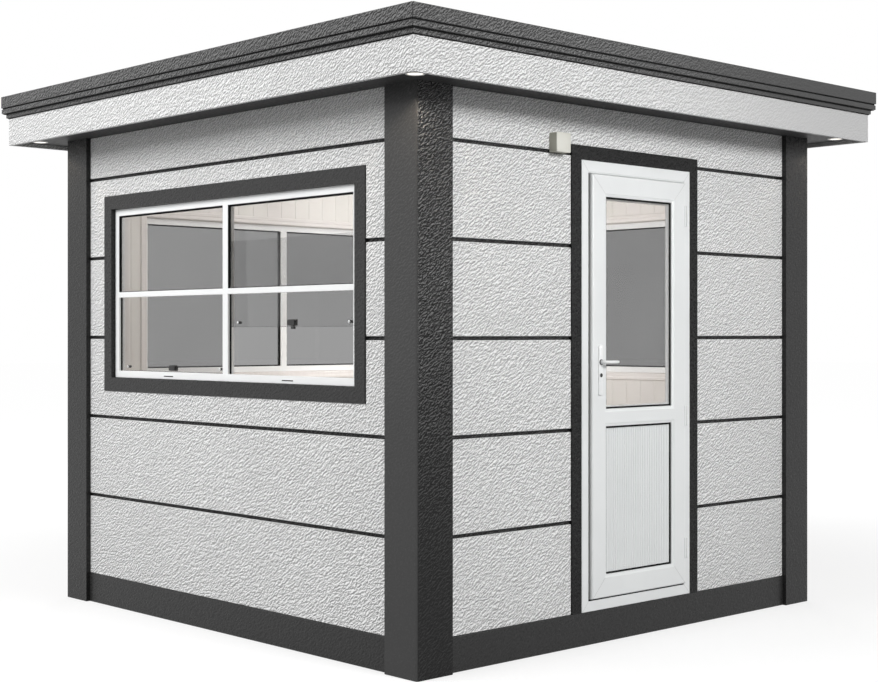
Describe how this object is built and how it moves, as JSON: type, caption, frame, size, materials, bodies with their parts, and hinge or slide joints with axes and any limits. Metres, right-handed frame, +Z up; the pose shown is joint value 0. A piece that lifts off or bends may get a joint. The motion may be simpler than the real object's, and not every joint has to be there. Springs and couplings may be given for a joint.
{
  "type": "modular cabin",
  "caption": "Square flat-roofed guard cabin with textured cladding courses, dark corner posts, a sash window, two fixed windows, a stepped roof edge and an outward-opening glazed door.",
  "frame": {"origin": "on the ground, in the middle of the footprint", "axes": "+Z up, the door faces -Y, +X to the right when facing the door"},
  "size_m": [3.19, 3.19, 2.594],
  "materials": {
    "dark_coat": "textured matte",
    "dark_panel": "textured matte",
    "light_coat": "textured matte",
    "white_frame": "satin",
    "white_metal": "satin",
    "tinted_glass": "polished",
    "pale_lining": "whitewashed",
    "floor_finish": "satin",
    "roof_sheet": "matte",
    "lamp": "matte",
    "black_plastic": "matte",
    "beige_plastic": "satin"
  },
  "bodies": {
    "cabin": {"back_cladding": "light_coat", "back_coping": "dark_coat", "back_fascia": "light_coat", "back_left_post": "dark_coat", "back_plinth": "dark_coat", "back_right_post": "dark_coat", "back_wall": "dark_panel", "back_window_frame": "white_frame", "back_window_glass": "tinted_glass", "door_frame": "white_frame", "door_hinges_frame": "white_metal", "door_trim": "dark_coat", "downlights": "lamp", "floor_panel": "floor_finish", "front_cladding": "light_coat", "front_coping": "dark_coat", "front_fascia": "light_coat", "front_left_post": "dark_coat", "front_plinth": "dark_coat", "front_right_post": "dark_coat", "front_wall_left": "dark_panel", "front_wall_over_door": "dark_panel", "front_wall_right": "dark_panel", "interior_lining": "pale_lining", "junction_box": "beige_plastic", "left_cladding": "light_coat", "left_coping": "dark_coat", "left_fascia": "light_coat", "left_plinth": "dark_coat", "left_wall": "dark_panel", "left_window_frame": "white_frame", "left_window_glass": "tinted_glass", "right_cladding": "light_coat", "right_coping": "dark_coat", "right_fascia": "light_coat", "right_plinth": "dark_coat", "right_wall": "dark_panel", "right_window_frame": "white_frame", "right_window_glass": "tinted_glass", "roof_deck": "roof_sheet", "roof_panel": "roof_sheet", "sash_latches": "black_plastic", "soffit": "dark_coat", "window_trims": "dark_coat"},
    "door": {"door_leaf": "white_frame", "door_glass": "tinted_glass", "door_panel": "white_frame", "handle_plates": "white_metal", "door_hinges_leaf": "white_metal"},
    "handle": {"lever_handles": "white_metal"}
  },
  "joints": [
    {"name": "door_hinge", "type": "hinge", "parent": "cabin", "child": "door", "pos_m": [0.3475, -1.3555, 1.1], "axis": [0, 0, 1], "range_deg": [0, 105]},
    {"name": "lever_turn", "type": "hinge", "parent": "door", "child": "handle", "pos_m": [-0.26304, -1.35, 1.24], "axis": [0, 1, 0], "range_deg": [0, 40], "stiffness_Nm_per_rad": 3, "springref_deg": -20.05}
  ]
}
